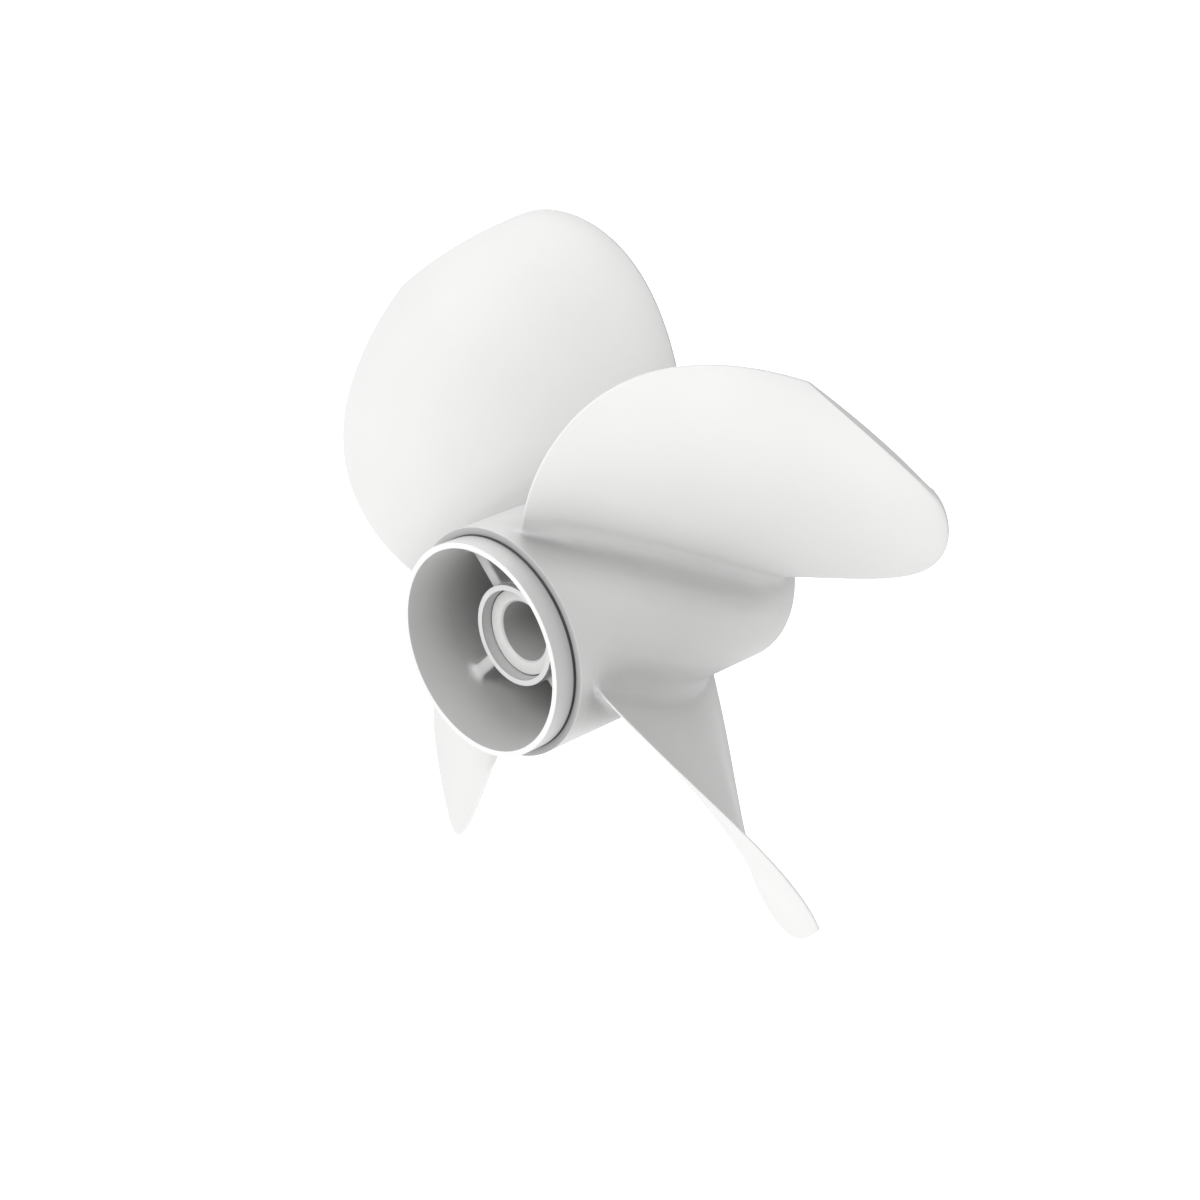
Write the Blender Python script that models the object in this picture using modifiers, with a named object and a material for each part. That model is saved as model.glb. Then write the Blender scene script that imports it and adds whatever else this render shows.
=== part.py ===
"""Boat propeller with four blades and an exhaust passage through its hub.

Units are metres. The shaft axis lies along Y: the front lip faces -Y, aft is +Y,
+Z is up. The origin is on the shaft axis, in the plane of the drive sleeve's
front face, where the propeller bears on its shaft's thrust washer.

The real casting is one piece. Here its barrel, inner hub, ribs and blades are
separate solids with a fine gap between them.
"""
import math

import bmesh
import bpy

# Gap between pieces that touch, and the fineness of the turned pieces
GAP = 0.0003
TURN_STEPS = 72
MERGE = 0.00001
SHARP_ANGLE = 32.0

# Places along the shaft, measured aft from the front face of the lip
SLEEVE_FACE = 0.0268
LIP_END = 0.0103
BARREL_FACE = 0.0115
BARREL_END = 0.1518

# Barrel and lip
LIP_RADIUS = 0.0500
LIP_BORE = 0.0473
GROOVE_RADIUS = 0.0489
FACE_INNER_RADIUS = 0.0502
FACE_STEP = 0.0004
BARREL_RADIUS = 0.0536
BOWL_RADIUS = 0.0455
BOWL_DEPTH = 0.025
PASSAGE_RADIUS = 0.0455
EXIT_RADIUS = 0.0485
EXIT_TAPER = 0.035

# Inner hub
HUB_FACE = 0.0216
HUB_END = 0.1360
HUB_RADIUS = 0.0238
COLLAR_WIDTH = 0.0026
COLLAR_GROOVE = 0.0012
COLLAR_GROOVE_DEPTH = 0.0007
HUB_BORE = 0.0207
HUB_MOUTH = 0.0212
HUB_MOUTH_DEPTH = 0.0012

# Drive sleeve and its rubber bushing
FLANGE_RADIUS = 0.0202
FLANGE_WIDTH = 0.0050
SLEEVE_RADIUS = 0.0172
SLEEVE_BORE = 0.0138
SLEEVE_CHAMFER = 0.0008
SLEEVE_DISH = 0.0006
SLEEVE_RIM = 0.0030
SLEEVE_END = 0.1180
BUSHING_END = 0.1120

# Ribs
RIB_COUNT = 4
RIB_THICKNESS = 0.0056
RIB_START = 0.0285
RIB_END = 0.1330
RIB_NOSE = 0.0024

# Blades: angles in degrees from +X towards +Z for the first one, radii from the axis
BLADE_COUNT = 4
TIP_RADIUS = 0.1810
ROOT_LEAD = 82.4
LEAD_SWEEP = 19.5
LEAD_ROUND = 13.8
LEAD_ROUND_POWER = 6.0
ROOT_TRAIL = 9.0
TRAIL_SWEEP = 7.4
TRAIL_ROUND = 3.5
TRAIL_ROUND_POWER = 5.0
TRAIL_CORNER = 9.5
TRAIL_CORNER_POWER = 4.6
RAKE_LINE = 45.0
ROOT_PITCH = 0.600
PITCH_RISE = 0.429
PITCH_FALL = 0.351
ROOT_RAKE = 0.0832
RAKE_FORWARD = 0.0136
RAKE_BACK = 0.0101
TIP_RAKE = 0.0063
TIP_RAKE_POWER = 6.0
ROOT_CAMBER = 0.010
CAMBER_RISE = 0.0136
CAMBER_FORWARD = 0.2
CUP = 0.0145
CUP_START_POWER = 4.0
CUP_POWER = 24.0
ROOT_THICKNESS = 0.0094
TIP_THICKNESS = 0.0030
THICKNESS_POWER = 1.5
LEAD_THICKNESS = 0.0010
TRAIL_THICKNESS = 0.0014
FILLET = 0.0080
FILLET_AT_EDGES = 0.3
FILLET_RISE = 1.5
END_FILLET = 0.0028
CHORD_STEPS = 18
SPAN_STEPS = 20
SEAT_CUTS = 4
END_CROWDING = 0.85

COLLECTION_NAME = "boat_propeller"
CUTTER_COLLECTION_NAME = "cutters"

for old in list(bpy.data.objects):
    bpy.data.objects.remove(old, do_unlink=True)

collection = bpy.data.collections.new(COLLECTION_NAME)
bpy.context.scene.collection.children.link(collection)
cutter_collection = bpy.data.collections.new(CUTTER_COLLECTION_NAME)
bpy.context.scene.collection.children.link(cutter_collection)

# The shaft's own frame: its Z runs aft along the axis from the lip's front face
shaft = bpy.data.objects.new("shaft_line", None)
shaft.location = (0.0, -SLEEVE_FACE, 0.0)
shaft.rotation_euler = (-math.pi / 2, 0.0, 0.0)
collection.objects.link(shaft)


def make_material(name, colour, roughness, metallic):
    """A plain Principled material."""
    material = bpy.data.materials.new(name)
    material.use_nodes = True
    shader = material.node_tree.nodes["Principled BSDF"]
    shader.inputs["Base Color"].default_value = (*colour, 1.0)
    shader.inputs["Roughness"].default_value = roughness
    shader.inputs["Metallic"].default_value = metallic
    material.diffuse_color = (*colour, 1.0)
    return material


def add_object(name, mesh, material=None, cutter=False):
    """Put a mesh on the shaft, as a piece or as a cutter."""
    piece = bpy.data.objects.new(name, mesh)
    piece.parent = shaft
    if cutter:
        piece.hide_render = True
        piece.display_type = "WIRE"
        cutter_collection.objects.link(piece)
    else:
        mesh.materials.append(material)
        mesh.shade_smooth()
        mesh.set_sharp_from_angle(angle=math.radians(SHARP_ANGLE))
        collection.objects.link(piece)
    return piece


def turned(name, profile, material=None, cutter=False):
    """Turn a closed outline of (radius, aft) points, outer side first, about the shaft."""
    mesh = bpy.data.meshes.new(name)
    outline = bmesh.new()
    points = [outline.verts.new((radius, 0.0, aft)) for radius, aft in profile]
    for first, second in zip(points, points[1:] + points[:1]):
        outline.edges.new((first, second))
    outline.to_mesh(mesh)
    outline.free()
    piece = add_object(name, mesh, material, cutter)
    screw = piece.modifiers.new("turn", "SCREW")
    screw.axis = "Z"
    screw.angle = 2 * math.pi
    screw.steps = TURN_STEPS
    screw.render_steps = TURN_STEPS
    screw.use_merge_vertices = True
    screw.merge_threshold = MERGE
    screw.use_smooth_shade = True
    return piece


def bowl_curve(steps=6):
    """The quarter-sine run from the lip's bore in to the passage."""
    curve = []
    for step in range(steps + 1):
        share = step / steps
        radius = LIP_BORE + (BOWL_RADIUS - LIP_BORE) * math.sin(share * math.pi / 2)
        curve.append((radius, share * BOWL_DEPTH))
    return curve


def passage_curve(inset=0.0):
    """Inner wall of the barrel from front to rear, moved in by inset."""
    curve = bowl_curve()
    curve.append((PASSAGE_RADIUS, BARREL_END - EXIT_TAPER))
    curve.append((EXIT_RADIUS, BARREL_END))
    return [(radius - inset, aft) for radius, aft in curve]


def build_barrel(material):
    """Outer tube with its front lip, the groove behind the lip, and the flared passage."""
    outer = [
        (BARREL_RADIUS, BARREL_END),
        (BARREL_RADIUS, BARREL_FACE),
        (FACE_INNER_RADIUS, BARREL_FACE),
        (FACE_INNER_RADIUS, BARREL_FACE + FACE_STEP),
        (GROOVE_RADIUS, BARREL_FACE + FACE_STEP),
        (GROOVE_RADIUS, LIP_END),
        (LIP_RADIUS, LIP_END),
        (LIP_RADIUS, 0.0),
    ]
    return turned("exhaust_barrel", outer + passage_curve(), material)


def build_hub(material):
    """Inner hub with a front collar, a fine groove behind it and the bushing's bore."""
    groove_start = HUB_FACE + COLLAR_WIDTH
    groove_end = groove_start + COLLAR_GROOVE
    groove_radius = HUB_RADIUS - COLLAR_GROOVE_DEPTH
    profile = [
        (HUB_RADIUS, HUB_END),
        (HUB_RADIUS, groove_end),
        (groove_radius, groove_end),
        (groove_radius, groove_start),
        (HUB_RADIUS, groove_start),
        (HUB_RADIUS, HUB_FACE),
        (HUB_MOUTH, HUB_FACE),
        (HUB_MOUTH, HUB_FACE + HUB_MOUTH_DEPTH),
        (HUB_BORE, SLEEVE_FACE),
        (HUB_BORE, HUB_END),
    ]
    return turned("hub_tube", profile, material)


def build_sleeve(material):
    """Flanged sleeve with a slightly dished face and a chamfered bore."""
    flange_back = SLEEVE_FACE + FLANGE_WIDTH
    chamfer_start = SLEEVE_FACE + SLEEVE_DISH
    profile = [
        (FLANGE_RADIUS, flange_back),
        (FLANGE_RADIUS, SLEEVE_FACE),
        (FLANGE_RADIUS - SLEEVE_RIM, SLEEVE_FACE),
        (SLEEVE_BORE + SLEEVE_CHAMFER, chamfer_start),
        (SLEEVE_BORE, chamfer_start + SLEEVE_CHAMFER),
        (SLEEVE_BORE, SLEEVE_END),
        (SLEEVE_RADIUS, SLEEVE_END),
        (SLEEVE_RADIUS, flange_back),
    ]
    return turned("drive_sleeve", profile, material)


def build_bushing(material):
    """Rubber ring between the sleeve and the hub."""
    start = SLEEVE_FACE + FLANGE_WIDTH + GAP
    profile = [
        (HUB_BORE - GAP, BUSHING_END),
        (HUB_BORE - GAP, start),
        (SLEEVE_RADIUS + GAP, start),
        (SLEEVE_RADIUS + GAP, BUSHING_END),
    ]
    return turned("rubber_bushing", profile, material)


def build_passage_cutter():
    """The space between hub and barrel, less the gap, that the ribs are cut to."""
    inner = HUB_RADIUS + GAP
    profile = [(radius, aft) for radius, aft in reversed(passage_curve(GAP))]
    profile += [(inner, 0.0), (inner, BARREL_END)]
    return turned("exhaust_passage", profile, cutter=True)


def build_ribs(material, passage):
    """Radial slabs with rounded noses, cut to the passage between hub and barrel."""
    reach = LIP_RADIUS
    length = RIB_END - RIB_START
    for number in range(RIB_COUNT):
        mesh = bpy.data.meshes.new(f"rib_{number + 1}")
        slab = bmesh.new()
        bmesh.ops.create_cube(slab, size=1.0)
        bmesh.ops.scale(slab, vec=(reach, RIB_THICKNESS, length), verts=slab.verts)
        bmesh.ops.translate(slab, vec=(reach / 2, 0.0, RIB_START + length / 2), verts=slab.verts)
        radial = [edge for edge in slab.edges
                  if abs(edge.verts[0].co.x - edge.verts[1].co.x) > reach / 2]
        bmesh.ops.bevel(slab, geom=radial, offset=RIB_NOSE, segments=3, affect="EDGES",
                        profile=0.5, material=-1)
        slab.to_mesh(mesh)
        slab.free()
        rib = add_object(f"rib_{number + 1}", mesh, material)
        turn = math.radians(45.0 + 360.0 / RIB_COUNT * number)
        rib.rotation_euler = (0.0, 0.0, -turn)
        fit = rib.modifiers.new("fit_to_passage", "BOOLEAN")
        fit.operation = "INTERSECT"
        fit.object = passage
        fit.solver = "EXACT"


def span_share(radius):
    """How far a radius lies from the barrel's skin, 0, to the blade tips, 1."""
    return min(max((radius - BARREL_RADIUS) / (TIP_RADIUS - BARREL_RADIUS), 0.0), 1.0)


def blade_edges(radius):
    """Angles and aft places of a blade's leading and trailing edge at a radius."""
    share = span_share(radius)
    lead = ROOT_LEAD - LEAD_SWEEP * share - LEAD_ROUND * share ** LEAD_ROUND_POWER
    corner = 1.0 - math.sqrt(1.0 - share ** TRAIL_CORNER_POWER)
    trail = ROOT_TRAIL + TRAIL_SWEEP * share + TRAIL_CORNER * corner
    trail += TRAIL_ROUND * share ** TRAIL_ROUND_POWER
    pitch = ROOT_PITCH + PITCH_RISE * share - PITCH_FALL * share ** 2
    rake = ROOT_RAKE - RAKE_FORWARD * share + RAKE_BACK * share ** 2
    rake += TIP_RAKE * share ** TIP_RAKE_POWER
    lead_aft = rake - pitch * (lead - RAKE_LINE) / 360.0
    trail_aft = rake + pitch * (RAKE_LINE - trail) / 360.0
    return lead, lead_aft, trail, trail_aft


def fillet_flare(height, size):
    """How far a round fillet of this size stands out at a height above the barrel."""
    if height >= size:
        return 0.0
    return size - math.sqrt(size ** 2 - (size - height) ** 2)


def blade_point(chord_share, station, side):
    """A point of the blade: side runs from +1 on the front face to -1 on the rear face."""
    seat = BARREL_RADIUS + GAP
    radius = seat + (TIP_RADIUS - seat) * station
    height = radius - BARREL_RADIUS
    lead, lead_aft, trail, trail_aft = blade_edges(radius)
    across = math.radians(trail - lead) * radius
    along = trail_aft - lead_aft
    chord = math.hypot(across, along)
    end_flare = fillet_flare(height, END_FILLET) / chord
    place = chord_share * (1.0 + 2.0 * end_flare) - end_flare

    hump = 4.0 * chord_share * (1.0 - chord_share)
    middle = TIP_THICKNESS + (ROOT_THICKNESS - TIP_THICKNESS) * (1.0 - station) ** THICKNESS_POWER
    edge = LEAD_THICKNESS + (TRAIL_THICKNESS - LEAD_THICKNESS) * chord_share
    half = (edge + (middle - edge) * hump) / 2.0
    half += fillet_flare(height, FILLET) * min(1.0, FILLET_AT_EDGES + FILLET_RISE * hump)
    camber = (ROOT_CAMBER + CAMBER_RISE * station) * chord * hump
    offset = camber * (1.0 + CAMBER_FORWARD * (1.0 - 2.0 * chord_share)) + side * half
    offset += CUP * chord * (chord_share ** CUP_START_POWER - chord_share ** CUP_POWER)

    arc = math.radians(lead) * radius + across * place - offset * along / chord
    aft = lead_aft + along * place + offset * across / chord
    angle = arc / radius
    return radius * math.cos(angle), -radius * math.sin(angle), aft


def close_ends(share):
    """Spread even steps from 0 to 1 so that they lie closer at the root and at the tip."""
    return share - END_CROWDING * math.sin(2.0 * math.pi * share) / (2.0 * math.pi)


def build_blades(material):
    """One blade bent from a thin slab of quads, and its copies round the barrel."""
    mesh = bpy.data.meshes.new("blade")
    slab = bmesh.new()
    bmesh.ops.create_grid(slab, x_segments=CHORD_STEPS, y_segments=SPAN_STEPS, size=0.5)
    sheet = bmesh.ops.extrude_face_region(slab, geom=slab.faces[:])
    lifted = [item for item in sheet["geom"] if isinstance(item, bmesh.types.BMVert)]
    bmesh.ops.translate(slab, vec=(0.0, 0.0, 1.0), verts=lifted)
    seat_edges = [edge for edge in slab.edges
                  if abs(edge.verts[0].co.z - edge.verts[1].co.z) > 0.5
                  and max(edge.verts[0].co.y, edge.verts[1].co.y) < -0.499]
    bmesh.ops.subdivide_edges(slab, edges=seat_edges, cuts=SEAT_CUTS, use_grid_fill=True)
    for vert in slab.verts:
        chord_share = 0.5 - 0.5 * math.cos(math.pi * (vert.co.x + 0.5))
        side = 2.0 * vert.co.z - 1.0
        vert.co = blade_point(chord_share, close_ends(vert.co.y + 0.5), side)
    bmesh.ops.recalc_face_normals(slab, faces=slab.faces)
    slab.to_mesh(mesh)
    slab.free()
    for number in range(BLADE_COUNT):
        blade = add_object(f"blade_{number + 1}", mesh.copy(), material)
        turn = math.radians(360.0 / BLADE_COUNT * number)
        blade.rotation_euler = (0.0, 0.0, -turn)


cast_white = make_material("cast_white", (0.80, 0.80, 0.79), 0.55, 0.0)
sleeve_grey = make_material("sleeve_grey", (0.70, 0.70, 0.69), 0.45, 0.0)
bushing_black = make_material("bushing_black", (0.05, 0.05, 0.05), 0.80, 0.0)

build_barrel(cast_white)
build_hub(cast_white)
build_ribs(cast_white, build_passage_cutter())
build_blades(cast_white)
build_sleeve(sleeve_grey)
build_bushing(bushing_black)
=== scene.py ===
import math

import bmesh
import bpy
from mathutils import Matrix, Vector
from mathutils.bvhtree import BVHTree


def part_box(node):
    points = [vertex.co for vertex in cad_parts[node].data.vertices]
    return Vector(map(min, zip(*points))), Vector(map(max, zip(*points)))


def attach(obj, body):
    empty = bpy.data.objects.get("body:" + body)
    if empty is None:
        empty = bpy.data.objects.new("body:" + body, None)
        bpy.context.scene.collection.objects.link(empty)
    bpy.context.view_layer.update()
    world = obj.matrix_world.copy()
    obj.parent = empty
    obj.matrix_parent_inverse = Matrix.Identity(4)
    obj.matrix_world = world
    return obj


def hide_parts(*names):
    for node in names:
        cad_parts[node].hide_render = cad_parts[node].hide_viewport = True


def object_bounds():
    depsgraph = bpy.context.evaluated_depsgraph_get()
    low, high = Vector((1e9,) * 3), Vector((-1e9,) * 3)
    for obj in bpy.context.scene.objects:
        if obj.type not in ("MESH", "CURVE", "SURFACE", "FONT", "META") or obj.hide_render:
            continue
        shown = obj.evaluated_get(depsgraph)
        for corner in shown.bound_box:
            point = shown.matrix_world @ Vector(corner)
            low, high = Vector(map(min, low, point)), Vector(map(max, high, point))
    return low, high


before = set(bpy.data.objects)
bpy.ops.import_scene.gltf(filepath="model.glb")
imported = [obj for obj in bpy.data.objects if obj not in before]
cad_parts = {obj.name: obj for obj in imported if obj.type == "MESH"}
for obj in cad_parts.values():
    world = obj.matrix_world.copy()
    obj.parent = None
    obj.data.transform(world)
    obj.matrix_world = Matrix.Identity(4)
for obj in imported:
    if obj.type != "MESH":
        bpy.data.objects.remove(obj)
cadLow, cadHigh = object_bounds()
scene = bpy.context.scene

barrelLow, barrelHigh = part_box("exhaust_barrel")
hubLow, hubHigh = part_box("hub_tube")
sleeveLow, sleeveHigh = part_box("drive_sleeve")
bushingLow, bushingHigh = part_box("rubber_bushing")
ribLow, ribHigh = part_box("rib_1")
lipFront = barrelLow.y
barrelRadius = barrelHigh.z
hubRadius = hubHigh.z

# lengths in metres, with aft places counted from the lip's front face; angles in the
# dictionaries are in degrees, from +X towards +Z
mould = {
    "weldGap": 0.000002,
    "sharpAngle": 38.0,
}


def aftOf(y):
    return y - lipFront


def onShaft(radius, angle, aft):
    return Vector((radius * math.cos(angle), lipFront + aft, radius * math.sin(angle)))


def quarterRound(distance, size):
    # 0 at an edge, rising as a quarter circle to 1 at size from it
    if distance >= size:
        return 1.0
    return math.sqrt(1.0 - (1.0 - max(distance, 0.0) / size) ** 2)


def filletFlare(height, size):
    # how far a round fillet stands out at a height above the wall it springs from
    if height >= size:
        return 0.0
    return size - math.sqrt(size ** 2 - (size - max(height, 0.0)) ** 2)


def closeEnds(share, crowding):
    # draws even steps from 0 to 1 together towards both ends
    return share - crowding * math.sin(2.0 * math.pi * share) / (2.0 * math.pi)


def shapeGrid(mesh, steps, rows, pointAt, firstAngle):
    # a grid bent into shape: pointAt gives the radius, angle and aft place for a share
    # along the grid and a row number
    grid = bmesh.ops.create_grid(mesh, x_segments=steps, y_segments=rows, size=0.5)
    for vert in grid["verts"]:
        along = 0.5 - 0.5 * math.cos(math.pi * (vert.co.x + 0.5))
        radius, angle, aft = pointAt(along, round((vert.co.y + 0.5) * rows))
        vert.co = onShaft(radius, angle + math.radians(firstAngle), aft)


def copyRound(mesh, count):
    # copies all there is round the shaft and welds the copies to each other
    bmesh.ops.spin(mesh, geom=mesh.verts[:] + mesh.edges[:] + mesh.faces[:], cent=(0, 0, 0),
                   axis=(0, 1, 0), angle=2.0 * math.pi * (count - 1) / count,
                   steps=count - 1, use_duplicate=True)
    bmesh.ops.remove_doubles(mesh, verts=mesh.verts, dist=mould["weldGap"])


# Blades and the barrel's skin between them

blade = {
    "count": 4,
    "tipRadius": 0.1810,
    "rootLead": 82.4,
    "leadSweep": 19.5,
    "leadRound": 13.8,
    "leadRoundPower": 6.0,
    "rootTrail": 9.0,
    "trailSweep": 7.4,
    "trailRound": 3.5,
    "trailRoundPower": 5.0,
    "trailCorner": 9.5,
    "trailCornerPower": 4.6,
    "rakeLine": 45.0,
    "rootPitch": 0.600,
    "pitchRise": 0.429,
    "pitchFall": 0.351,
    "rootRake": 0.0832,
    "rakeForward": 0.0136,
    "rakeBack": 0.0101,
    "tipRake": 0.0063,
    "tipRakePower": 6.0,
    "rootCamber": 0.010,
    "camberRise": 0.0136,
    "camberForward": 0.2,
    "cup": 0.0145,
    "cupStartPower": 4.0,
    "cupPower": 24.0,
    "rootThickness": 0.0094,
    "tipThickness": 0.0030,
    "thicknessPower": 1.5,
    "leadThickness": 0.0010,
    "trailThickness": 0.0014,
    "fillet": 0.0080,
    "filletAtEdges": 0.3,
    "filletRise": 1.5,
    "endFillet": 0.0028,
    "footRound": 0.0030,
    "chordSteps": 84,
    "spanSteps": 54,
    "skinSteps": 30,
    "crowding": 0.85,
}


def bladeEdges(radius):
    # angle and aft place of the leading and the trailing edge at a radius
    span = blade["tipRadius"] - barrelRadius
    share = min(max((radius - barrelRadius) / span, 0.0), 1.0)
    lead = blade["rootLead"] - blade["leadSweep"] * share
    lead -= blade["leadRound"] * share ** blade["leadRoundPower"]
    corner = 1.0 - math.sqrt(1.0 - share ** blade["trailCornerPower"])
    trail = blade["rootTrail"] + blade["trailSweep"] * share + blade["trailCorner"] * corner
    trail += blade["trailRound"] * share ** blade["trailRoundPower"]
    pitch = blade["rootPitch"] + blade["pitchRise"] * share - blade["pitchFall"] * share ** 2
    rake = blade["rootRake"] - blade["rakeForward"] * share + blade["rakeBack"] * share ** 2
    rake += blade["tipRake"] * share ** blade["tipRakePower"]
    leadAft = rake - pitch * (lead - blade["rakeLine"]) / 360.0
    trailAft = rake + pitch * (blade["rakeLine"] - trail) / 360.0
    return lead, leadAft, trail, trailAft


def bladePoint(along, station, side):
    # along runs from leading to trailing edge and station from root to tip,
    # side is +1 on the front face and -1 on the rear
    radius = barrelRadius + (blade["tipRadius"] - barrelRadius) * station
    height = radius - barrelRadius
    lead, leadAft, trail, trailAft = bladeEdges(radius)
    acrossChord = math.radians(trail - lead) * radius
    aftChord = trailAft - leadAft
    chord = math.hypot(acrossChord, aftChord)
    endFlare = filletFlare(height, blade["endFillet"]) / chord
    place = along * (1.0 + 2.0 * endFlare) - endFlare

    # half the thickness: rounded edges, a full middle and the root's fillet
    hump = 4.0 * along * (1.0 - along)
    nearest = chord * min(along, 1.0 - along)
    edge = blade["leadThickness"] + (blade["trailThickness"] - blade["leadThickness"]) * along
    taper = (1.0 - station) ** blade["thicknessPower"]
    middle = blade["tipThickness"] + (blade["rootThickness"] - blade["tipThickness"]) * taper
    half = edge / 2.0 * quarterRound(nearest, edge / 2.0) + (middle - edge) / 2.0 * hump
    spread = min(1.0, blade["filletAtEdges"] + blade["filletRise"] * hump)
    flare = filletFlare(height, blade["fillet"])
    half += flare * spread * quarterRound(nearest, blade["footRound"])

    # camber towards the front, turned up into a cup before the trailing edge
    camber = (blade["rootCamber"] + blade["camberRise"] * station) * chord * hump
    camber *= 1.0 + blade["camberForward"] * (1.0 - 2.0 * along)
    cupShare = along ** blade["cupStartPower"] - along ** blade["cupPower"]
    camber += blade["cup"] * chord * cupShare

    # at its foot the blade thickens round the barrel only, so that the barrel's skin isn't folded
    foot = flare / blade["fillet"]
    steep, slant = aftChord / chord, acrossChord / chord
    across = camber * steep + side * half * ((1.0 - foot) * steep + foot / steep)
    arc = math.radians(lead) * radius + acrossChord * place - across
    aft = leadAft + aftChord * place + (camber + side * half * (1.0 - foot)) * slant
    return radius, arc / radius, aft


def skinPoint(along, row):
    # one quarter of the outer skin: down a blade's front face, over the barrel to the
    # next blade, up its rear face and across its tip
    span, skin = blade["spanSteps"], blade["skinSteps"]
    turn = -2.0 * math.pi / blade["count"]
    if row <= span:
        return bladePoint(along, closeEnds(1.0 - row / span, blade["crowding"]), 1)
    if row < span + skin:
        share = (row - span) / skin
        _, nearAngle, nearAft = bladePoint(along, 0.0, 1)
        _, farAngle, farAft = bladePoint(along, 0.0, -1)
        angle = nearAngle + (farAngle + turn - nearAngle) * share
        return barrelRadius, angle, nearAft + (farAft - nearAft) * share
    side = -1 if row <= 2 * span + skin else 1
    station = closeEnds(min(1.0, (row - span - skin) / span), blade["crowding"])
    radius, angle, aft = bladePoint(along, station, side)
    return radius, angle + turn, aft


def growSkin(mesh):
    rows = 2 * blade["spanSteps"] + blade["skinSteps"] + 1
    shapeGrid(mesh, blade["chordSteps"], rows, skinPoint, 0.0)
    copyRound(mesh, blade["count"])


# Passage between hub and barrel: four cells parted by the ribs

passage = {
    "lipBore": 0.0473,
    "radius": 0.0455,
    "bowlStart": 0.001,
    "bowlDepth": 0.025,
    "bowlSteps": 12,
    "exitRadius": 0.0485,
    "exitTaper": 0.035,
    "rimSoft": 0.0006,
    "rimJoin": 0.002,
}

rib = {
    "count": 4,
    "firstAngle": 45.0,
    "thickness": 0.0062,
    "startForward": 0.0012,
    "noseRound": 0.0012,
    "wallFillet": 0.0038,
    "hubFillet": 0.0012,
    "alongSteps": 72,
    "sideSteps": 22,
    "wallSteps": 30,
    "hubSteps": 30,
    "crowding": 0.7,
}


def passageRadius(aft):
    # narrows from the lip down the bowl, runs straight and widens again before the rear rim
    tail = aftOf(barrelHigh.y) - passage["exitTaper"]
    if aft < passage["bowlDepth"]:
        share = math.sin(aft / passage["bowlDepth"] * math.pi / 2.0)
        return passage["lipBore"] + (passage["radius"] - passage["lipBore"]) * share
    if aft <= tail:
        return passage["radius"]
    rise = passage["exitRadius"] - passage["radius"]
    return passage["radius"] + rise * (aft - tail) / passage["exitTaper"]


def ribPoint(along, station, side):
    # station runs from the hub to the barrel's wall, side is +1 towards greater angles
    wall = passage["radius"]
    rise = hubRadius + (wall - hubRadius) * station
    flare = filletFlare(rise - hubRadius, rib["hubFillet"])
    flare += filletFlare(wall - rise, rib["wallFillet"])
    front = aftOf(ribLow.y) - rib["startForward"] - flare
    back = aftOf(ribHigh.y) + flare
    aft = front + (back - front) * along
    radius = hubRadius + (passageRadius(aft) - hubRadius) * station
    nearest = min(aft - front, back - aft)
    half = rib["thickness"] / 2.0 + flare
    half *= quarterRound(nearest, rib["noseRound"] + flare)
    return radius, side * half / radius, aft


def cellPoint(along, row):
    # round one cell: up a rib, over the wall, down the next rib and back over the hub
    sideSteps, wallSteps = rib["sideSteps"], rib["wallSteps"]
    turn = 2.0 * math.pi / rib["count"]
    if row <= sideSteps:
        return ribPoint(along, closeEnds(row / sideSteps, rib["crowding"]), 1)
    row -= sideSteps
    if row < wallSteps:
        radius, angle, aft = ribPoint(along, 1.0, 1)
        return radius, angle + (turn - 2.0 * angle) * row / wallSteps, aft
    row -= wallSteps
    if row <= sideSteps:
        station = closeEnds(1.0 - row / sideSteps, rib["crowding"])
        radius, angle, aft = ribPoint(along, station, -1)
        return radius, angle + turn, aft
    row -= sideSteps
    radius, angle, aft = ribPoint(along, 0.0, 1)
    return radius, turn - angle + (2.0 * angle - turn) * row / rib["hubSteps"], aft


def growCells(mesh):
    rows = 2 * rib["sideSteps"] + rib["wallSteps"] + rib["hubSteps"]
    shapeGrid(mesh, rib["alongSteps"], rows, cellPoint, rib["firstAngle"])
    copyRound(mesh, rib["count"])


# Turned surfaces, drawn along outlines of (radius, aft) points

turned = {
    "cornerSteps": 3,
    "cornerReach": 0.45,
    "cornerMargin": 1.5,
    "longestStep": 0.004,
    "ringSlack": 0.0004,
    "ringAftSlack": 0.0002,
    "steps": 144,
    "seam": 0.001,
}


def softened(corners, size):
    # rounds each inner corner of an open outline
    outline = [corners[0]]
    for before, corner, after in zip(corners, corners[1:], corners[2:]):
        middle = Vector(corner)
        inward = Vector(before) - middle
        outward = Vector(after) - middle
        cut = min(size, turned["cornerReach"] * inward.length,
                  turned["cornerReach"] * outward.length)
        start = middle + inward.normalized() * cut
        finish = middle + outward.normalized() * cut
        for step in range(turned["cornerSteps"] + 1):
            share = step / turned["cornerSteps"]
            low = start.lerp(middle, share)
            high = middle.lerp(finish, share)
            outline.append(tuple(low.lerp(high, share)))
    outline.append(corners[-1])
    return spaced(outline, turned["cornerMargin"] * size)


def spaced(outline, margin):
    # adds points to each stretch over four margins long: a margin from its ends and evenly between
    full = [outline[0]]
    for start, finish in zip(outline, outline[1:]):
        start, finish = Vector(start), Vector(finish)
        length = (finish - start).length
        if length > 4.0 * margin:
            inner = length - 2.0 * margin
            count = math.ceil(inner / turned["longestStep"])
            for step in range(count + 1):
                place = margin + inner * step / count
                full.append(tuple(start.lerp(finish, place / length)))
        full.append(tuple(finish))
    return full


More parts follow.
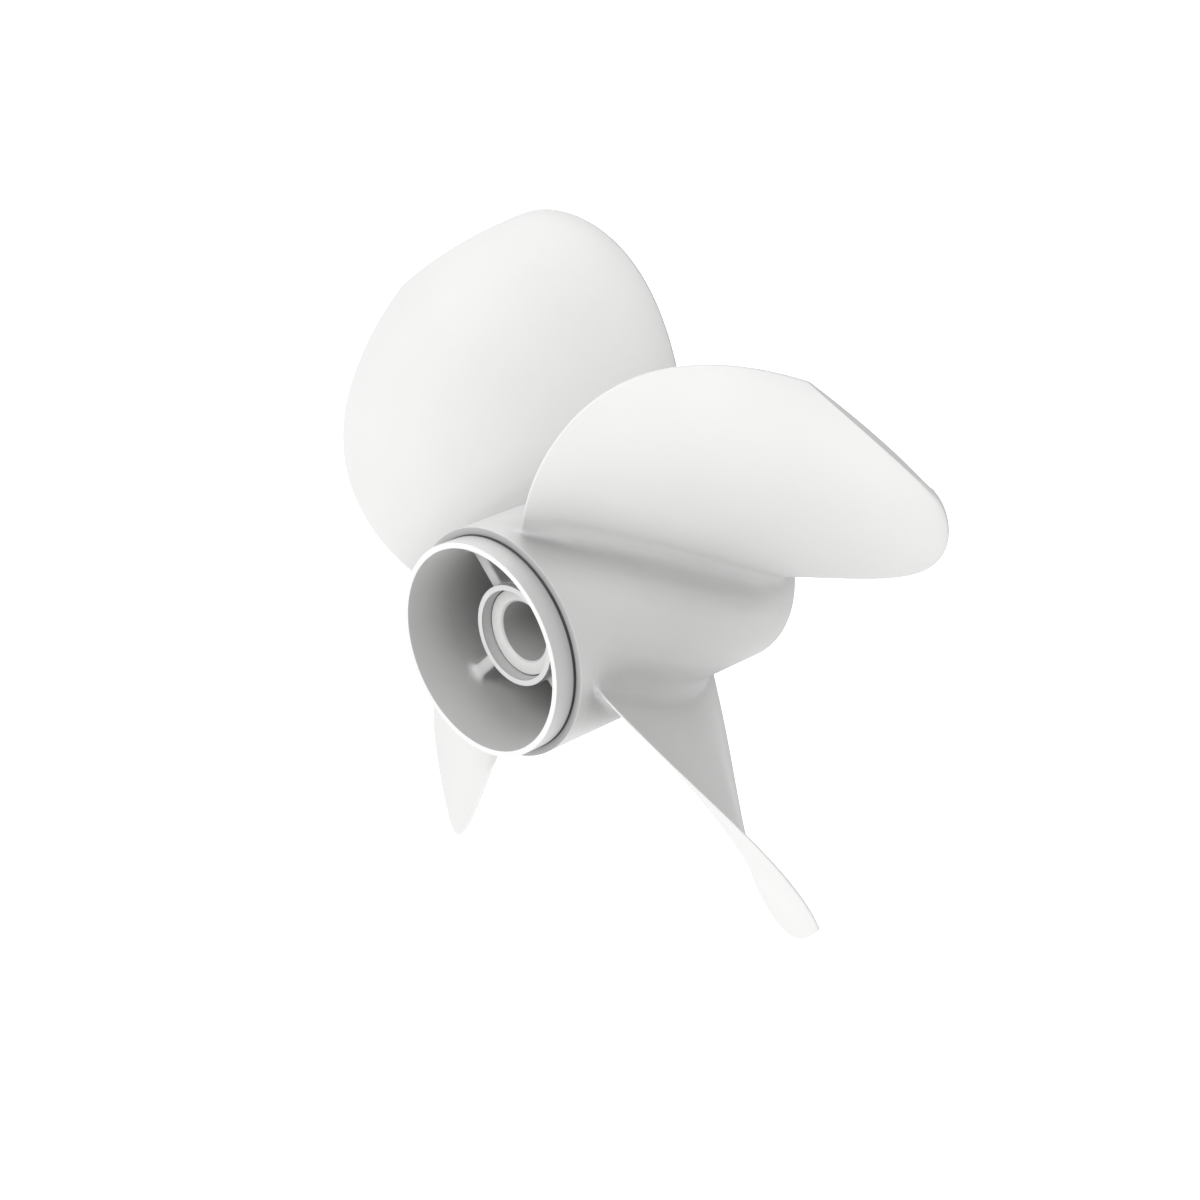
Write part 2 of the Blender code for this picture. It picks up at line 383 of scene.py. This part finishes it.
def openRing(mesh, radius, aft):
    # the open edges that lie at this radius and aft place
    def near(vert):
        return (abs(math.hypot(vert.co.x, vert.co.z) - radius) < turned["ringSlack"]
                and abs(aftOf(vert.co.y) - aft) < turned["ringAftSlack"])
    return [edge for edge in mesh.edges
            if edge.is_boundary and near(edge.verts[0]) and near(edge.verts[1])]


def drawOn(mesh, ring, outline):
    # extrudes an open ring from point to point of the outline and returns its last ring
    for radius, aft in outline:
        grown = bmesh.ops.extrude_edge_only(mesh, edges=ring)["geom"]
        ring = [item for item in grown if isinstance(item, bmesh.types.BMEdge)]
        for vert in {vert for edge in ring for vert in edge.verts}:
            vert.co = onShaft(radius, math.atan2(vert.co.z, vert.co.x), aft)
    return ring


def turnPiece(name, outline):
    shape = bmesh.new()
    points = [shape.verts.new(onShaft(radius, 0.0, aft)) for radius, aft in outline]
    edges = [shape.edges.new(pair) for pair in zip(points, points[1:] + points[:1])]
    bmesh.ops.spin(shape, geom=points + edges, cent=(0, 0, 0), axis=(0, 1, 0),
                   angle=2.0 * math.pi, steps=turned["steps"], use_merge=True)
    bmesh.ops.remove_doubles(shape, verts=shape.verts, dist=mould["weldGap"])
    bmesh.ops.recalc_face_normals(shape, faces=shape.faces)
    return makePiece(name, shape)


def makePiece(name, shape):
    mesh = bpy.data.meshes.new(name)
    shape.to_mesh(mesh)
    shape.free()
    mesh.shade_smooth()
    mesh.set_sharp_from_angle(angle=math.radians(mould["sharpAngle"]))
    piece = bpy.data.objects.new(name, mesh)
    scene.collection.objects.link(piece)
    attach(piece, "root")
    return piece


# Casting: skin and cells joined by the lip, the rear rim and the hub

lip = {
    "radius": 0.0500,
    "end": 0.0103,
    "grooveRadius": 0.0489,
    "faceInner": 0.0502,
    "faceStep": 0.0004,
    "barrelFace": 0.0115,
    "soft": 0.00014,
}

hub = {
    "collarWidth": 0.0026,
    "groove": 0.0012,
    "grooveDepth": 0.0007,
    "mouth": 0.0212,
    "mouthDepth": 0.0012,
    "bore": 0.0207,
    "soft": 0.00012,
    "join": 0.001,
}


def growLip(shell, cellFront):
    # from the blades' front ends over the lip and down the bowl to the cells
    noseAft = bladePoint(0.0, 0.0, 1)[2]
    face = lip["barrelFace"]
    grooveFloor = face + lip["faceStep"]
    bowlStart = passage["bowlStart"]
    outline = softened([
        (barrelRadius, noseAft),
        (barrelRadius, face),
        (lip["faceInner"], face),
        (lip["faceInner"], grooveFloor),
        (lip["grooveRadius"], grooveFloor),
        (lip["grooveRadius"], lip["end"]),
        (lip["radius"], lip["end"]),
        (lip["radius"], 0.0),
        (passageRadius(0.0), 0.0),
        (passageRadius(bowlStart), bowlStart),
    ], lip["soft"])
    for step in range(1, passage["bowlSteps"]):
        aft = bowlStart + (cellFront - 2.0 * bowlStart) * step / passage["bowlSteps"]
        outline.append((passageRadius(aft), aft))
    ring = drawOn(shell, openRing(shell, barrelRadius, noseAft), outline[1:])
    cellRing = openRing(shell, passageRadius(cellFront), cellFront)
    bmesh.ops.bridge_loops(shell, edges=ring + cellRing)


def growRearRim(shell, cellBack):
    # from the blades' rear ends over the rear rim and in to the cells
    tailAft = bladePoint(1.0, 0.0, 1)[2]
    rearRim = aftOf(barrelHigh.y)
    join = cellBack + passage["rimJoin"]
    outline = softened([
        (barrelRadius, tailAft),
        (barrelRadius, rearRim),
        (passageRadius(rearRim), rearRim),
        (passageRadius(join), join),
    ], passage["rimSoft"])
    ring = drawOn(shell, openRing(shell, barrelRadius, tailAft), outline[1:])
    cellRing = openRing(shell, passageRadius(cellBack), cellBack)
    bmesh.ops.bridge_loops(shell, edges=ring + cellRing)


def growHub(shell, cellFront, cellBack):
    # from the cells over the collar, through the bore and back out to the cells
    front, back = aftOf(hubLow.y), aftOf(hubHigh.y)
    collarEnd = front + hub["collarWidth"]
    grooveRadius = hubRadius - hub["grooveDepth"]
    outline = softened([
        (hubRadius, cellFront),
        (hubRadius, collarEnd + hub["groove"]),
        (grooveRadius, collarEnd + hub["groove"]),
        (grooveRadius, collarEnd),
        (hubRadius, collarEnd),
        (hubRadius, front),
        (hub["mouth"], front),
        (hub["mouth"], front + hub["mouthDepth"]),
        (hub["bore"], aftOf(sleeveLow.y)),
        (hub["bore"], back),
        (hubRadius, back),
        (hubRadius, cellBack + hub["join"]),
    ], hub["soft"])
    ring = drawOn(shell, openRing(shell, hubRadius, cellFront), outline[1:])
    bmesh.ops.bridge_loops(shell, edges=ring + openRing(shell, hubRadius, cellBack))


def buildCasting():
    cells = bmesh.new()
    growCells(cells)
    cellMesh = bpy.data.meshes.new("cells")
    cells.to_mesh(cellMesh)
    cells.free()

    shell = bmesh.new()
    growSkin(shell)
    shell.from_mesh(cellMesh)
    bpy.data.meshes.remove(cellMesh)
    growLip(shell, ribPoint(0.0, 1.0, 1)[2])
    growRearRim(shell, ribPoint(1.0, 1.0, 1)[2])
    growHub(shell, ribPoint(0.0, 0.0, 1)[2], ribPoint(1.0, 0.0, 1)[2])

    bmesh.ops.remove_doubles(shell, verts=shell.verts, dist=mould["weldGap"])
    bmesh.ops.recalc_face_normals(shell, faces=shell.faces)
    openEdges = [edge for edge in shell.edges if not edge.is_manifold]
    print("casting:", len(shell.faces), "faces,", len(openEdges), "open edges")
    piece = makePiece("casting", shell)
    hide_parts("exhaust_barrel", "hub_tube", "rib_1", "rib_2", "rib_3", "rib_4",
                "blade_1", "blade_2", "blade_3", "blade_4")
    return piece


# Drive sleeve and rubber bushing, turned

sleeve = {
    "flangeWidth": 0.0050,
    "rim": 0.0003,
    "dish": 0.0006,
    "bore": 0.0141,
    "chamfer": 0.0009,
    "tubeRadius": 0.0172,
    "soft": 0.00014,
}

bushing = {
    "gap": 0.0003,
    "soft": 0.0006,
}


def buildSleeve():
    front, back = aftOf(sleeveLow.y), aftOf(sleeveHigh.y)
    flange = sleeveHigh.z
    dish = front + sleeve["dish"]
    middle = (front + back) / 2.0
    outline = softened([
        (sleeve["bore"], middle),
        (sleeve["bore"], dish + sleeve["chamfer"]),
        (sleeve["bore"] + sleeve["chamfer"], dish),
        (flange - sleeve["rim"], front),
        (flange, front),
        (flange, front + sleeve["flangeWidth"]),
        (sleeve["tubeRadius"], front + sleeve["flangeWidth"]),
        (sleeve["tubeRadius"], back),
        (sleeve["bore"], back),
        (sleeve["bore"], middle + turned["seam"]),
    ], sleeve["soft"])
    piece = turnPiece("driveSleeve", outline)
    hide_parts("drive_sleeve")
    return piece


def buildBushing():
    front, back = aftOf(bushingLow.y), aftOf(bushingHigh.y)
    outer = bushingHigh.z
    inner = sleeve["tubeRadius"] + bushing["gap"]
    middle = (front + back) / 2.0
    outline = softened([
        (inner, middle),
        (inner, front),
        (outer, front),
        (outer, back),
        (inner, back),
        (inner, middle + turned["seam"]),
    ], bushing["soft"])
    piece = turnPiece("rubberBushing", outline)
    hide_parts("rubber_bushing")
    return piece


casting = buildCasting()
driveSleeve = buildSleeve()
rubberBushing = buildBushing()
print("pieces made")


# How shut in each vertex lies by the surfaces round it, kept on the mesh as painted shade for the
# finishes to darken their colour by

paintedShade = {
    "rays": 64,
    "reach": 0.030,
    "innerReach": 0.050,
    "lift": 0.00005,
    "smoothing": 1,
    "power": 0.9,
    "bladeShare": 0.35,
    "bladeRise": 0.012,
    "wallSlack": 0.0005,
    "innerPower": 0.5,
    "innerShare": 0.36,
    "slotFrom": 0.90,
    "slotAmount": 6.0,
}


def hemisphere(count):
    # directions spread evenly round +Z and closer together towards it
    golden = math.pi * (3.0 - math.sqrt(5.0))
    for number in range(count):
        share = (number + 0.5) / count
        level, flat = math.sqrt(1.0 - share), math.sqrt(share)
        yield Vector((flat * math.cos(golden * number), flat * math.sin(golden * number), level))


def paintedShadeAt(vert, tree, rays):
    # painted shade from the share of the rays that meet another surface, in one way for the
    # passage and the bore and in another outside, where the blades keep only a part of it
    turn = vert.normal.to_track_quat("Z", "Y")
    start = vert.co + vert.normal * paintedShade["lift"]
    radius = math.hypot(vert.co.x, vert.co.z)
    inner = radius < passageRadius(aftOf(vert.co.y)) + paintedShade["wallSlack"]
    reach = paintedShade["innerReach"] if inner else paintedShade["reach"]
    closed = sum(1 for ray in rays if tree.ray_cast(start, turn @ ray, reach)[0]) / len(rays)
    # narrow grooves get extra painted shade, close to black
    if inner:
        slot = paintedShade["slotAmount"] * max(0.0, closed - paintedShade["slotFrom"])
        return paintedShade["innerShare"] * closed ** paintedShade["innerPower"] + slot
    onBlade = min(1.0, max(0.0, radius - barrelRadius) / paintedShade["bladeRise"])
    share = 1.0 - (1.0 - paintedShade["bladeShare"]) * onBlade
    return share * closed ** paintedShade["power"]


def spreadValues(mesh, values, rounds):
    # evens out a value per vertex over each vertex's neighbours
    for _ in range(rounds):
        total = list(values)
        count = [1] * len(values)
        for edge in mesh.edges:
            first, second = edge.vertices
            total[first] += values[second]
            total[second] += values[first]
            count[first] += 1
            count[second] += 1
        values = [value / number for value, number in zip(total, count)]
    return values


def paintShadeInRecesses(pieces):
    whole = bmesh.new()
    for piece in pieces:
        whole.from_mesh(piece.data)
    tree = BVHTree.FromBMesh(whole)
    whole.free()
    rays = list(hemisphere(paintedShade["rays"]))
    for piece in pieces:
        mesh = piece.data
        shadeValue = [paintedShadeAt(vert, tree, rays) for vert in mesh.vertices]
        shadeValue = spreadValues(mesh, shadeValue, paintedShade["smoothing"])
        # stores the painted shade value on each vertex
        mesh.attributes.new("paintedShade", "FLOAT", "POINT").data.foreach_set("value", shadeValue)


paintShadeInRecesses([casting, driveSleeve, rubberBushing])
print("recesses marked")


# Finishes: two effects that they share, grain with clouds and painted shade in recesses, then one
# material for each piece

finishes = {
    # the recess colour and amount in each finish are painted shade for the recesses, not the
    # piece's own colour
    "castWhite": {
        "colour": (0.685, 0.685, 0.68), "paintedShadeColour": (0.03, 0.03, 0.031),
        "paintedShadeAmount": 1.15, "cloudAmount": 0.035, "grainScale": 1100.0, "cloudScale": 16.0,
        "roughLow": 0.50, "roughHigh": 0.64, "bump": 0.10, "grainDepth": 0.0002},
    "sleeveGrey": {
        "colour": (0.66, 0.66, 0.655), "paintedShadeColour": (0.03, 0.03, 0.03),
        "paintedShadeAmount": 1.15, "cloudAmount": 0.02, "grainScale": 1600.0, "cloudScale": 40.0,
        "roughLow": 0.36, "roughHigh": 0.46, "bump": 0.04, "grainDepth": 0.0001},
    "bushingBlack": {
        "colour": (0.030, 0.030, 0.031), "paintedShadeColour": (0.01, 0.01, 0.01),
        "paintedShadeAmount": 0.5, "cloudAmount": 0.2, "grainScale": 2200.0, "cloudScale": 60.0,
        "roughLow": 0.68, "roughHigh": 0.85, "bump": 0.15, "grainDepth": 0.0002},
}

noiseLow, noiseHigh = 0.3, 0.7      # nearly all of a noise texture's values lie between these


def newGroup(name, inputs, outputs):
    group = bpy.data.node_groups.new(name, "ShaderNodeTree")
    for socketName, kind, value in inputs:
        socket = group.interface.new_socket(name=socketName, in_out="INPUT", socket_type=kind)
        socket.default_value = value
    for socketName, kind in outputs:
        group.interface.new_socket(name=socketName, in_out="OUTPUT", socket_type=kind)
    return group, group.nodes.new("NodeGroupInput"), group.nodes.new("NodeGroupOutput")


def addNode(tree, kind, **values):
    node = tree.nodes.new(kind)
    for name, value in values.items():
        setattr(node, name, value)
    return node


def addNoiseRange(tree):
    # a map from the noise's own range to the one that its To sockets give
    node = addNode(tree, "ShaderNodeMapRange")
    node.inputs["From Min"].default_value = noiseLow
    node.inputs["From Max"].default_value = noiseHigh
    return node


def makeGrainGroup():
    # fine casting grain and broad, faint clouds on Object coordinates
    group, start, end = newGroup(
        "castGrain",
        [("Grain Scale", "NodeSocketFloat", 900.0), ("Cloud Scale", "NodeSocketFloat", 14.0)],
        [("Grain", "NodeSocketFloat"), ("Cloud", "NodeSocketFloat")])
    place = addNode(group, "ShaderNodeTexCoord")
    grain = addNode(group, "ShaderNodeTexNoise")
    grain.inputs["Detail"].default_value = 4.0
    grain.inputs["Roughness"].default_value = 0.6
    cloud = addNode(group, "ShaderNodeTexNoise")
    cloud.inputs["Detail"].default_value = 3.0
    link = group.links.new
    link(place.outputs["Object"], grain.inputs["Vector"])
    link(place.outputs["Object"], cloud.inputs["Vector"])
    link(start.outputs["Grain Scale"], grain.inputs["Scale"])
    link(start.outputs["Cloud Scale"], cloud.inputs["Scale"])
    link(grain.outputs["Fac"], end.inputs["Grain"])
    link(cloud.outputs["Fac"], end.inputs["Cloud"])
    return group


def makePaintedShadeGroup():
    # painted shade: darkens a colour where the surface lies in a recess, where shade falls, and a
    # little by the clouds
    group, start, end = newGroup(
        "paintedRecessShade",
        [("Color", "NodeSocketColor", (0.7, 0.7, 0.7, 1.0)),
         ("Painted Shade Color", "NodeSocketColor", (0.2, 0.2, 0.2, 1.0)),
         ("Painted Shade Amount", "NodeSocketFloat", 0.7),
         ("Cloud", "NodeSocketFloat", 0.5),
         ("Cloud Amount", "NodeSocketFloat", 0.04)],
        [("Color", "NodeSocketColor")])
    # reads the painted shade value kept on the mesh
    shadeValue = addNode(group, "ShaderNodeAttribute", attribute_name="paintedShade")
    share = addNode(group, "ShaderNodeMath", operation="MULTIPLY", use_clamp=True)
    shadeMix = addNode(group, "ShaderNodeMix", data_type="RGBA")
    clouds = addNoiseRange(group)
    shade = addNode(group, "ShaderNodeMix", data_type="RGBA", blend_type="MULTIPLY")
    shade.inputs["B"].default_value = (0.0, 0.0, 0.0, 1.0)
    link = group.links.new
    link(shadeValue.outputs["Fac"], share.inputs[0])
    link(start.outputs["Painted Shade Amount"], share.inputs[1])
    link(share.outputs["Value"], shadeMix.inputs["Factor"])
    link(start.outputs["Color"], shadeMix.inputs["A"])
    link(start.outputs["Painted Shade Color"], shadeMix.inputs["B"])
    link(start.outputs["Cloud"], clouds.inputs["Value"])
    link(start.outputs["Cloud Amount"], clouds.inputs["To Max"])
    link(clouds.outputs["Result"], shade.inputs["Factor"])
    link(shadeMix.outputs["Result"], shade.inputs["A"])
    link(shade.outputs["Result"], end.inputs["Color"])
    return group


def makeFinish(name, grainGroup, paintedShadeGroup):
    values = finishes[name]
    material = bpy.data.materials.new(name)
    material.use_nodes = True
    tree = material.node_tree
    shader = tree.nodes["Principled BSDF"]
    grain = addNode(tree, "ShaderNodeGroup", node_tree=grainGroup)
    grain.inputs["Grain Scale"].default_value = values["grainScale"]
    grain.inputs["Cloud Scale"].default_value = values["cloudScale"]
    tone = addNode(tree, "ShaderNodeGroup", node_tree=paintedShadeGroup)
    tone.inputs["Color"].default_value = (*values["colour"], 1.0)
    tone.inputs["Painted Shade Color"].default_value = (*values["paintedShadeColour"], 1.0)
    tone.inputs["Painted Shade Amount"].default_value = values["paintedShadeAmount"]
    tone.inputs["Cloud Amount"].default_value = values["cloudAmount"]
    rough = addNoiseRange(tree)
    rough.inputs["To Min"].default_value = values["roughLow"]
    rough.inputs["To Max"].default_value = values["roughHigh"]
    bump = addNode(tree, "ShaderNodeBump")
    bump.inputs["Strength"].default_value = values["bump"]
    bump.inputs["Distance"].default_value = values["grainDepth"]
    link = tree.links.new
    link(grain.outputs["Cloud"], tone.inputs["Cloud"])
    link(tone.outputs["Color"], shader.inputs["Base Color"])
    link(grain.outputs["Grain"], rough.inputs["Value"])
    link(rough.outputs["Result"], shader.inputs["Roughness"])
    link(grain.outputs["Grain"], bump.inputs["Height"])
    link(bump.outputs["Normal"], shader.inputs["Normal"])
    material.diffuse_color = (*values["colour"], 1.0)
    return material


grainGroup = makeGrainGroup()
paintedShadeGroup = makePaintedShadeGroup()
casting.data.materials.append(makeFinish("castWhite", grainGroup, paintedShadeGroup))
driveSleeve.data.materials.append(makeFinish("sleeveGrey", grainGroup, paintedShadeGroup))
rubberBushing.data.materials.append(makeFinish("bushingBlack", grainGroup, paintedShadeGroup))
print("finishes made")


# Camera at the photo's viewpoint, pale floor and soft studio light

studio = {
    "cameraPlace": (0.7451, -0.6932, 0.4909),
    "cameraForward": (-0.6418, 0.6396, -0.4231),
    "lens": 75.4,
    "sensor": 36.0,
    "floorGap": 0.0003,
    "floorSize": 12.0,
    "floorColour": (0.92, 0.92, 0.92),
    "floorRoughness": 0.9,
    "floorGlow": 0.60,
    "domeBelow": 1.44,
    "domeAbove": 0.17,
    "lampSize": 2.0,
    "lampDistance": 3.0,
}

# each lamp's azimuth from the front towards +X, its height angle and its watts
lamps = {
    "frontLamp": (0.0, 8.0, 31.0),
    "highLamp": (0.0, 45.0, 47.0),
    "backLamp": (225.0, 45.0, 48.0),
}


def aim(thing, forward):
    thing.rotation_mode = "QUATERNION"
    thing.rotation_quaternion = Vector(forward).to_track_quat("-Z", "Y")


def placeCamera():
    lens = bpy.data.cameras.new("studioCamera")
    lens.lens = studio["lens"]
    lens.sensor_width = studio["sensor"]
    lens.clip_start = 0.01
    lens.clip_end = 50.0
    camera = bpy.data.objects.new("studioCamera", lens)
    camera.location = studio["cameraPlace"]
    aim(camera, studio["cameraForward"])
    scene.collection.objects.link(camera)
    scene.camera = camera


def hangLamp(name, azimuth, height, watts):
    light = bpy.data.lights.new(name, "AREA")
    light.shape = "DISK"
    light.size = studio["lampSize"]
    light.energy = watts
    lamp = bpy.data.objects.new(name, light)
    azimuth, height = math.radians(azimuth), math.radians(height)
    outward = Vector((math.sin(azimuth) * math.cos(height),
                      -math.cos(azimuth) * math.cos(height), math.sin(height)))
    lamp.location = outward * studio["lampDistance"]
    aim(lamp, -outward)
    scene.collection.objects.link(lamp)


def layFloor():
    # seen by the camera only: it throws no light or shadow on the part
    shape = bmesh.new()
    bmesh.ops.create_grid(shape, x_segments=1, y_segments=1, size=studio["floorSize"] / 2.0)
    mesh = bpy.data.meshes.new("studioFloor")
    shape.to_mesh(mesh)
    shape.free()
    material = bpy.data.materials.new("paleFloor")
    material.use_nodes = True
    shader = material.node_tree.nodes["Principled BSDF"]
    shader.inputs["Base Color"].default_value = (*studio["floorColour"], 1.0)
    shader.inputs["Roughness"].default_value = studio["floorRoughness"]
    shader.inputs["Specular IOR Level"].default_value = 0.0
    shader.inputs["Emission Color"].default_value = (1.0, 1.0, 1.0, 1.0)
    shader.inputs["Emission Strength"].default_value = studio["floorGlow"]
    mesh.materials.append(material)
    floor = bpy.data.objects.new("studioFloor", mesh)
    floor.location = (0.0, 0.0, cadLow.z - studio["floorGap"])
    floor.visible_diffuse = False
    floor.visible_glossy = False
    floor.visible_shadow = False
    scene.collection.objects.link(floor)


def lightDome():
    # the dome is brighter below, as over a white floor
    world = bpy.data.worlds.new("studioWorld")
    world.use_nodes = True
    tree = world.node_tree
    dome = tree.nodes["Background"]
    dome.inputs["Color"].default_value = (1.0, 1.0, 1.0, 1.0)
    direction = addNode(tree, "ShaderNodeTexCoord")
    axes = addNode(tree, "ShaderNodeSeparateXYZ")
    fade = addNode(tree, "ShaderNodeMapRange")
    fade.inputs["From Min"].default_value = -1.0
    fade.inputs["To Min"].default_value = studio["domeBelow"]
    fade.inputs["To Max"].default_value = studio["domeAbove"]
    tree.links.new(direction.outputs["Generated"], axes.inputs["Vector"])
    tree.links.new(axes.outputs["Z"], fade.inputs["Value"])
    tree.links.new(fade.outputs["Result"], dome.inputs["Strength"])
    scene.world = world


placeCamera()
for lampName, (azimuth, height, watts) in lamps.items():
    hangLamp(lampName, azimuth, height, watts)
layFloor()
lightDome()
scene.view_settings.view_transform = "Standard"
print("studio set")
